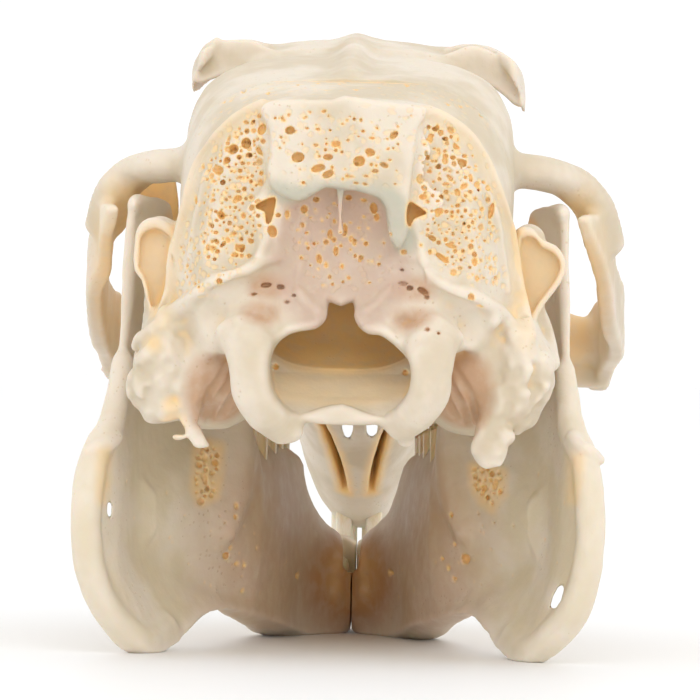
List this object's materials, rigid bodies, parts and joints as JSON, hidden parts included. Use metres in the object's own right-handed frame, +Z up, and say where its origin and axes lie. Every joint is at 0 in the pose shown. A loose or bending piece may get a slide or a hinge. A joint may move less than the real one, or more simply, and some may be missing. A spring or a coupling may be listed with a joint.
{
  "type": "european rabbit skull",
  "caption": "Cleaned dry skull of a rabbit with its lower jaw in place, cheek arches, porous back of the head and long front teeth, standing on the jaw.",
  "frame": {"origin": "middle of the skull's length and width, at the level of the surface that the jaw stands on", "axes": "+Z up, +Y towards the nose, +X to the animal's right; the back of the head faces -Y"},
  "size_m": [0.0433, 0.0729, 0.0479],
  "materials": {
    "skull_bone": "dry ivory bone, matt to satin, porous behind and warmer in the hollows",
    "jaw_bone": "dry ivory bone, satin, thin and warm towards the chin",
    "enamel": "smooth off-white tooth, faintly yellow at the neck"
  },
  "bodies": {
    "root": {"cranium": "skull_bone", "mandible_left": "jaw_bone", "mandible_right": "jaw_bone", "lower_cheek_tooth_left_1": "enamel", "lower_cheek_tooth_left_2": "enamel", "lower_cheek_tooth_left_3": "enamel", "lower_cheek_tooth_left_4": "enamel", "lower_cheek_tooth_left_5": "enamel", "lower_cheek_tooth_right_1": "enamel", "lower_cheek_tooth_right_2": "enamel", "lower_cheek_tooth_right_3": "enamel", "lower_cheek_tooth_right_4": "enamel", "lower_cheek_tooth_right_5": "enamel", "lower_incisor_left": "enamel", "lower_incisor_right": "enamel", "upper_cheek_tooth_left_1": "enamel", "upper_cheek_tooth_left_2": "enamel", "upper_cheek_tooth_left_3": "enamel", "upper_cheek_tooth_left_4": "enamel", "upper_cheek_tooth_left_5": "enamel", "upper_cheek_tooth_left_6": "enamel", "upper_cheek_tooth_right_1": "enamel", "upper_cheek_tooth_right_2": "enamel", "upper_cheek_tooth_right_3": "enamel", "upper_cheek_tooth_right_4": "enamel", "upper_cheek_tooth_right_5": "enamel", "upper_cheek_tooth_right_6": "enamel", "upper_incisor_left": "enamel", "upper_incisor_right": "enamel", "upper_peg_tooth_left": "enamel", "upper_peg_tooth_right": "enamel"}
  },
  "joints": []
}
